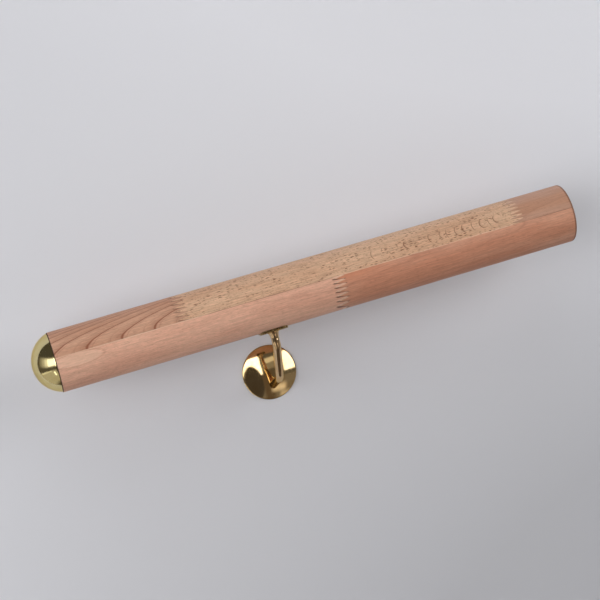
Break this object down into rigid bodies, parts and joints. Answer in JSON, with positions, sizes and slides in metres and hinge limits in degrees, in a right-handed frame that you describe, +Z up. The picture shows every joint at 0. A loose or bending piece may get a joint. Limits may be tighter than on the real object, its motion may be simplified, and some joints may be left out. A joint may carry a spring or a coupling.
{
  "type": "grab rail",
  "caption": "Round laminated wood rail held off a wall by a brass swan-neck bracket with a domed rosette, closed at one end by a domed brass cap.",
  "frame": {"origin": "centre of the rosette's back, on the wall plane, on the axis of the wall fixing", "axes": "+Y into the wall, +X along the rail towards its plain end, +Z up with the rail level"},
  "size_m": [0.508, 0.155, 0.129],
  "materials": {
    "upper_left_beech": "sanded beech, untreated, pinkish brown with bold dark flame grain",
    "upper_middle_beech": "sanded beech, untreated, pale tan with short dark ray flecks",
    "upper_right_beech": "sanded beech, untreated, plain pinkish",
    "lower_left_beech": "sanded beech, untreated, fine straight grain",
    "lower_right_beech": "sanded beech, untreated, reddish brown",
    "polished_brass": "polished",
    "zinc_plated_steel": "bright zinc plate",
    "grey_nylon": "moulded, matt"
  },
  "bodies": {
    "wall_fixing": {"wall_stud": "zinc_plated_steel", "wall_plug": "grey_nylon"},
    "rail_and_bracket": {"upper_lamella_left": "upper_left_beech", "upper_lamella_middle": "upper_middle_beech", "upper_lamella_right": "upper_right_beech", "lower_lamella_left": "lower_left_beech", "lower_lamella_right": "lower_right_beech", "end_cap": "polished_brass", "cap_stud": "zinc_plated_steel", "saddle_plate": "polished_brass", "saddle_screw": "zinc_plated_steel", "rail_screws": "zinc_plated_steel", "bracket_arm": "polished_brass", "rosette": "polished_brass"}
  },
  "joints": [
    {"name": "bracket_turn", "type": "hinge", "parent": "wall_fixing", "child": "rail_and_bracket", "pos_m": [0, 0, 0], "axis": [0, -1, 0], "range_deg": [-45, 45]}
  ]
}
